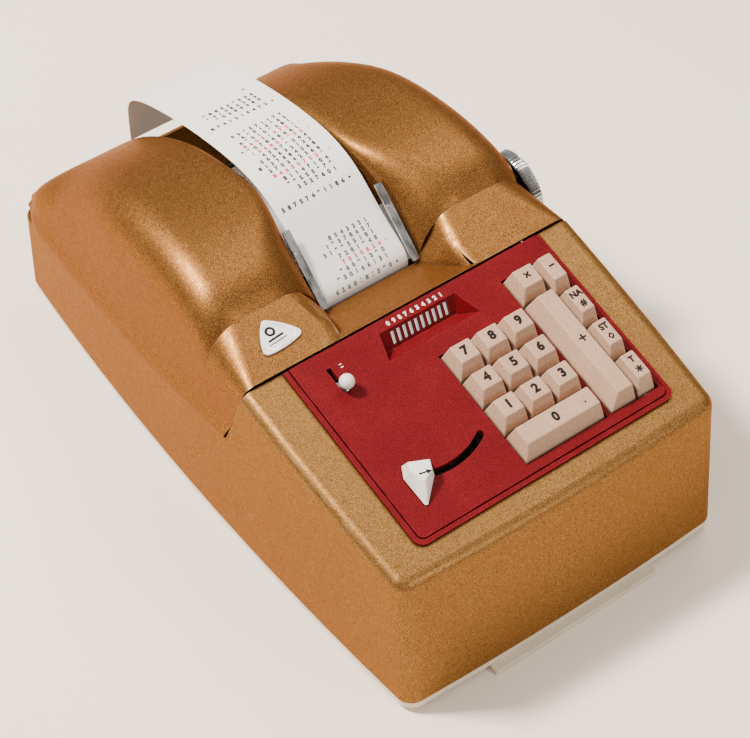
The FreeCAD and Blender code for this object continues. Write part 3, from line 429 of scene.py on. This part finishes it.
DIGIT_HEIGHT, LETTER_HEIGHT, HASH_HEIGHT = 5.6, 3.9, 4.2
for digit, (column, row) in DIGIT_KEYS.items():
    legend(digit, [(digit, DIGIT_HEIGHT, DIGIT_LEFT + DIGIT_PITCH * column + 10.1,
                    ROW_FRONT + ROW_PITCH * row + 12.4)])
legend("0", [("0", DIGIT_HEIGHT, DIGIT_LEFT + 27.5, ROW_FRONT + 12.2),
             (".", None, DIGIT_LEFT + 47.5, ROW_FRONT + 10.6)])
legend("plus", [("+", None, 64.3, 51.5)])
legend("multiply", [("×", None, 63.0, 100.8)])
FUNCTION_X, FUNCTION_FRONT, FUNCTION_PITCH = 79.3, 7.6, 25.2
UPPER_MARK, LOWER_MARK, STAR_MARK, LONE_MARK = 18.4, 11.2, 11.4, 15.5
legend("minus", [("−", None, FUNCTION_X, FUNCTION_FRONT + 3 * FUNCTION_PITCH + LONE_MARK)])
legend("non_add", [("NA", LETTER_HEIGHT, FUNCTION_X, FUNCTION_FRONT + 2 * FUNCTION_PITCH + UPPER_MARK),
                   ("#", HASH_HEIGHT, FUNCTION_X, FUNCTION_FRONT + 2 * FUNCTION_PITCH + LOWER_MARK)])
legend("subtotal", [("ST", LETTER_HEIGHT, FUNCTION_X, FUNCTION_FRONT + FUNCTION_PITCH + UPPER_MARK),
                    ("◊", None, FUNCTION_X, FUNCTION_FRONT + FUNCTION_PITCH + LOWER_MARK)])
legend("total", [("T", LETTER_HEIGHT, FUNCTION_X, FUNCTION_FRONT + UPPER_MARK),
                 ("*", None, FUNCTION_X, FUNCTION_FRONT + STAR_MARK)])

# ---------------------------------------------------------------- marks on the panel
PANEL_TOP = 2.6
COLUMN_START, COLUMN_PITCH, COLUMN_ROW = -20.05, 4.1, 119.6
NUMBER_HEIGHT, NUMBER_THICKNESS = 2.7, 0.03
numbers = [(lettering(digit, NUMBER_HEIGHT, NUMBER_THICKNESS),
            on_deck(COLUMN_START + i * COLUMN_PITCH, COLUMN_ROW, PANEL_TOP + CLEAR))
           for i, digit in enumerate("0987654321")]
add_mesh("column_numbers", merged(numbers), PALE_FILL, "machine")

TICK_X, TICK_ROWS = -58.6, (110, 111.9)
ticks = [(outline_mesh(rectangle(1.8, 0.5), LEGEND_THICKNESS), on_deck(TICK_X, along, PANEL_TOP + CLEAR))
         for along in TICK_ROWS]
add_mesh("selector_marks", merged(ticks), PALE_FILL, "machine")

LEVER_TOP = 11
knob = deck_point(middle("clear_lever_knob"))
ARROW = [(-3.8, -0.5), (0.8, -0.5), (0.8, -1.6), (3.9, 0), (0.8, 1.6), (0.8, 0.5), (-3.8, 0.5)]
add_mesh("lever_arrow", merged([(outline_mesh(ARROW, 0.05), on_deck(knob.x, knob.y, LEVER_TOP + CLEAR, -12))]),
         LEGEND, "clear_lever_body")

# ---------------------------------------------------------------- badge: a raised rim and a plain pictogram
BADGE_TOP = 3.9
BOW = 1.8  # how far each side of the badge bulges
BADGE_CORNERS = [Vector((-80, 157)), Vector((-91.5, 137)), Vector((-64, 139.5))]
BADGE_MIDDLE = sum(BADGE_CORNERS, Vector((0, 0))) / 3


def badge_line(shrink):
    """Points of the bowed triangle, drawn in towards its middle."""
    points = []
    for a, b in zip(BADGE_CORNERS, BADGE_CORNERS[1:] + BADGE_CORNERS[:1]):
        for i in range(2, 11):
            t = i / 12
            out = ((a + b) / 2 - BADGE_MIDDLE).normalized() * BOW * 4 * t * (1 - t)
            points.append(BADGE_MIDDLE + (a.lerp(b, t) + out - BADGE_MIDDLE) * shrink)
    return points


def ring_mesh(outer, inner, height):
    """A flat raised band between two closed lines."""
    bm = bmesh.new()
    rows = []
    for points, z in ((outer, 0), (outer, height), (inner, height), (inner, 0)):
        rows.append([bm.verts.new(Vector((p.x, p.y, z)) * MM) for p in points])
    count = len(outer)
    for low, high in zip(rows, rows[1:]):
        for i in range(count):
            j = (i + 1) % count
            bm.faces.new((low[i], low[j], high[j], high[i]))
    bmesh.ops.recalc_face_normals(bm, faces=bm.faces)
    mesh = bpy.data.meshes.new("ring")
    bm.to_mesh(mesh)
    bm.free()
    return mesh


def circle(x, y, radius, count=28):
    return [Vector((x + radius * math.cos(2 * math.pi * i / count), y + radius * math.sin(2 * math.pi * i / count)))
            for i in range(count)]


on_badge = on_deck(0, 0, BADGE_TOP)
add_mesh("badge_rim", merged([(ring_mesh(badge_line(0.90), badge_line(0.82), 0.25), on_badge.copy())]), CHROME,
         "machine")
motif = [(ring_mesh(circle(-80.3, 148.6, 3.1), circle(-80.3, 148.6, 1.6), 0.12), on_badge.copy()),
         (outline_mesh([(-84.6, 142.7), (-74.4, 143.6), (-74.5, 144.9), (-84.7, 144.0)], 0.12), on_badge.copy()),
         (outline_mesh([(-85.4, 140.6), (-73.4, 141.6), (-73.5, 142.2), (-85.5, 141.2)], 0.12), on_badge.copy())]
add_mesh("badge_motif", merged(motif), LEGEND, "machine")

# ---------------------------------------------------------------- printed rows on the tape
TAPE_SIDE = [(161.5, 119), (162.6, 123.4), (165.8, 127.4), (170, 130.6), (176.6, 134.4), (185.6, 140), (196.2, 147.6),
             (213, 158.4), (232, 164), (262, 163.6), (300, 157), (335, 147), (354, 139)]


def tape_walk():
    """Points every half millimetre or so up the tape from its slot: (distance along it, place, outward normal)."""
    points = [SHIFT + Vector((0, y, z)) * MM for y, z in TAPE_SIDE]
    points = [points[0] * 2 - points[1]] + points + [points[-1] * 2 - points[-2]]
    line = []
    for a, b, c, d in zip(points, points[1:], points[2:], points[3:]):
        steps = max(2, int((c - b).length / (0.5 * MM)))
        for i in range(steps):
            t = i / steps
            line.append(0.5 * (2 * b + (c - a) * t + (2 * a - 5 * b + 4 * c - d) * t * t
                               + (3 * b - a - 3 * c + d) * t ** 3))
    walked, total = [], 0.0
    for here, after in zip(line, line[1:]):
        along = (after - here).normalized()
        walked.append((total, here, Vector((0, -along.z, along.y))))
        total += (after - here).length
    return walked


WALK = tape_walk()
tape = NODES["paper_tape"].data
SURFACE = BVHTree.FromPolygons([v.co for v in tape.vertices], [tuple(p.vertices) for p in tape.polygons])


INK_LIFT = 0.09


def on_tape(x, distance):
    """A place on the tape's outer face: x across and distance along it from the slot, in millimetres."""
    index = min(int(distance * MM / WALK[-1][0] * len(WALK)), len(WALK) - 1)
    while index > 0 and WALK[index][0] > distance * MM:
        index -= 1
    while index < len(WALK) - 1 and WALK[index + 1][0] <= distance * MM:
        index += 1
    start, place, outward = WALK[index]
    along = Vector((0, outward.z, -outward.y))
    near = place + along * (distance * MM - start) + outward * 0.0008 + Vector((x * MM, 0, 0))
    return SURFACE.find_nearest(near)[0] + outward * INK_LIFT * MM


PRINT_PITCH, PRINT_HEIGHT, PRINT_BOLD = 4.2, 2.7, 0.085
PRINT_SIGNS = {"*": [(0, 0, 1.5, 0.9, 0), (0, 0, 1.5, 0.9, 90)], "-": [(0, 0, 1.9, 0.45, 0)]}


def print_rows(name, rows, material):
    """rows: (distance of the row from the slot, text, x of its last digit); one glyph per column."""
    glyphs = {}
    bm = bmesh.new()
    for distance, text, right in rows:
        for place, char in enumerate(reversed(text)):
            if char not in glyphs:
                glyphs[char] = (lettering(char, PRINT_HEIGHT, bold=PRINT_BOLD) if char.isdigit()
                                else bars_mesh(PRINT_SIGNS[char], 0.01))
            mesh = glyphs[char]
            x0 = right - place * PRINT_PITCH
            verts = [bm.verts.new(on_tape(x0 + v.co.x / MM, distance + v.co.y / MM)) for v in mesh.vertices]
            for face in mesh.polygons:
                bm.faces.new([verts[i] for i in face.vertices])
    mesh = bpy.data.meshes.new(name)
    bm.to_mesh(mesh)
    bm.free()
    add_mesh(name, mesh, material, "machine")


LAST_COLUMN, SIGN_COLUMN = 17.6, 22.4
rng = random.Random(7)


def number(digits):
    return str(rng.randint(1, 9)) + "".join(str(rng.randint(0, 9)) for _ in range(digits - 1))


black, red, signs, red_signs = [], [], [], []
WINDOW_LINE, LONG_LINE = 4.0, 4.25  # from one row to the next, under the guard and beyond it


def entry(distance, digits, is_red=False, total=False):
    """One printed row: a total carries a star and a red number a minus sign."""
    (red if is_red else black).append((distance, number(digits), LAST_COLUMN))
    if total:
        signs.append((distance, "*", SIGN_COLUMN))
    elif is_red:
        red_signs.append((distance, "-", SIGN_COLUMN))


WINDOW_ROWS = [(9, False), (8, False), (7, True), (7, False), (9, False), (8, False), (7, False)]
LONG_ROWS = [(7, False), (8, False), (8, False), (9, True), (9, False), (10, False), (9, False), (8, False),
             (9, True), (10, False), (9, True), (9, False), (8, False), (9, False)]
entry(5.0, 10, total=True)
for i, (digits, is_red) in enumerate(WINDOW_ROWS):
    entry(11.0 + i * WINDOW_LINE, digits, is_red)
entry(61.0, 11, total=True)
for i, (digits, is_red) in enumerate(LONG_ROWS):
    entry(69.5 + i * LONG_LINE, digits, is_red)
entry(139.5, 10, total=True)
for i, digits in enumerate((8, 9, 9)):
    entry(146.5 + i * LONG_LINE, digits)
signs.append((163.5, "*", LAST_COLUMN))
print_rows("tape_print_black", black + signs, BLACK_INK)
print_rows("tape_print_red", red + red_signs, RED_INK)

# ---------------------------------------------------------------- platen knob with a knurled rim
KNOB_LOW, KNOB_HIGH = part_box("platen_knob")
OUTER, RIM = KNOB_HIGH.x / MM, (KNOB_HIGH.z - KNOB_LOW.z) / 2 / MM
KNOB_PROFILE = [(OUTER - back, radius) for back, radius in (
    (15.5, 3.02), (15.5, 9), (14.1, 10.2), (10.4, RIM - 2.4), (9.6, RIM - 1.1), (8.9, RIM - 0.5), (8.1, RIM),
    (2.2, RIM), (1.5, RIM - 0.5), (1.2, RIM - 1.2), (1.2, RIM - 3.1), (2.1, RIM - 4.1), (2.5, RIM - 5.2),
    (2.5, 8.4), (1.9, 7.6), (0.3, 7.0), (0, 6.2), (0, 1.6), (0.6, 0.9), (0.6, 0.001))]
KNURLED = (6, 7)  # the rows of the profile that the grooves cut
TEETH, GROOVE, STEPS = 66, 0.75, 4


def knob_mesh():
    bm = bmesh.new()
    centre = (SHAFT_LOW + SHAFT_HIGH) / 2
    count = TEETH * STEPS
    rings = []
    for row, (x, radius) in enumerate(KNOB_PROFILE):
        ring = []
        for i in range(count):
            cut = GROOVE if row in KNURLED and i % STEPS >= STEPS / 2 else 0
            angle = 2 * math.pi * i / count
            reach = (radius - cut) * MM
            ring.append(bm.verts.new((x * MM, centre.y + reach * math.cos(angle),
                                      centre.z + reach * math.sin(angle))))
        rings.append(ring)
    for low, high in zip(rings, rings[1:]):
        for i in range(count):
            j = (i + 1) % count
            bm.faces.new((low[i], low[j], high[j], high[i]))
    bmesh.ops.recalc_face_normals(bm, faces=bm.faces)
    mesh = bpy.data.meshes.new("knurled_knob")
    bm.to_mesh(mesh)
    bm.free()
    return mesh


knurled = add_mesh("knurled_knob", knob_mesh(), CHROME, "platen_body")
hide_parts("platen_knob")

# ---------------------------------------------------------------- floor, light and camera
def floor_material():
    n = Nodes("floor_stage")
    grain = n.noise(1.5, 3.0)
    n.link(n.ramp(n.noise(220, 2.0), [(0.3, (0.93, 0.80, 0.68)), (0.7, (0.96, 0.84, 0.73))]),
           n.shader.inputs["Base Color"])
    n.link(n.spread(grain, 0.8, 0.9), n.shader.inputs["Roughness"])
    return n.material


floor_mesh = bpy.data.meshes.new("floor")
floor_mesh.from_pydata([(-6, -6, 0), (6, -6, 0), (6, 6, 0), (-6, 6, 0)], [], [(0, 1, 2, 3)])
floor_mesh.materials.append(floor_material())
floor = bpy.data.objects.new("floor", floor_mesh)
bpy.context.scene.collection.objects.link(floor)


MIDDLE_OF_OBJECT = Vector((0, 0, 0.08))
WARM = (1, 0.94, 0.86)


def soft_light(name, place, size, power):
    """A softbox that faces the middle of the object."""
    light = bpy.data.lights.new(name, "AREA")
    light.shape = "RECTANGLE"
    light.size, light.size_y = size
    light.energy = power
    light.color = WARM
    obj = bpy.data.objects.new(name, light)
    obj.location = place
    aim = MIDDLE_OF_OBJECT - Vector(place)
    obj.rotation_euler = aim.to_track_quat("-Z", "Y").to_euler()
    bpy.context.scene.collection.objects.link(obj)


soft_light("key_softbox", (-1.0, 0.75, 1.95), (0.35, 0.35), 125)
soft_light("top_softbox", (0.75, 0.3, 1.7), (0.8, 0.8), 11)
soft_light("front_softbox", (0.35, -1.6, 0.9), (0.7, 0.6), 12)

world = bpy.data.worlds.new("studio")
world.use_nodes = True
sky = world.node_tree
background = sky.nodes["Background"]
elevation = sky.nodes.new("ShaderNodeSeparateXYZ")
sky.links.new(sky.nodes.new("ShaderNodeTexCoord").outputs["Generated"], elevation.inputs["Vector"])
bands = sky.nodes.new("ShaderNodeValToRGB")
SKY_TONES = (0.30, (0.16, 0.14, 0.125)), (0.95, (1.0, 0.96, 0.91))
for element, (place, tone) in zip(bands.color_ramp.elements, SKY_TONES):
    element.position, element.color = place, (*tone, 1)
sky.links.new(elevation.outputs["Z"], bands.inputs["Fac"])
sky.links.new(bands.outputs["Color"], background.inputs["Color"])
background.inputs["Strength"].default_value = 1.0
bpy.context.scene.world = world

CAMERA_BACK = Vector((-0.4056, -0.5377, 0.7392)).normalized()
CAMERA_AIM = SHIFT + Vector((24.42, 186.43, 9)) * MM
CAMERA_DISTANCE = 1.5166
AZIMUTH = math.radians(-37.03)
right = Vector((math.cos(AZIMUTH), math.sin(AZIMUTH), 0))
up = CAMERA_BACK.cross(right)
lens = bpy.data.cameras.new("camera")
lens.lens, lens.sensor_width = 117.97, 36
camera = bpy.data.objects.new("camera", lens)
camera.matrix_world = Matrix.Translation(CAMERA_AIM + CAMERA_BACK * CAMERA_DISTANCE) @ Matrix(
    (right, up, CAMERA_BACK)).transposed().to_4x4()
bpy.context.scene.collection.objects.link(camera)
bpy.context.scene.camera = camera
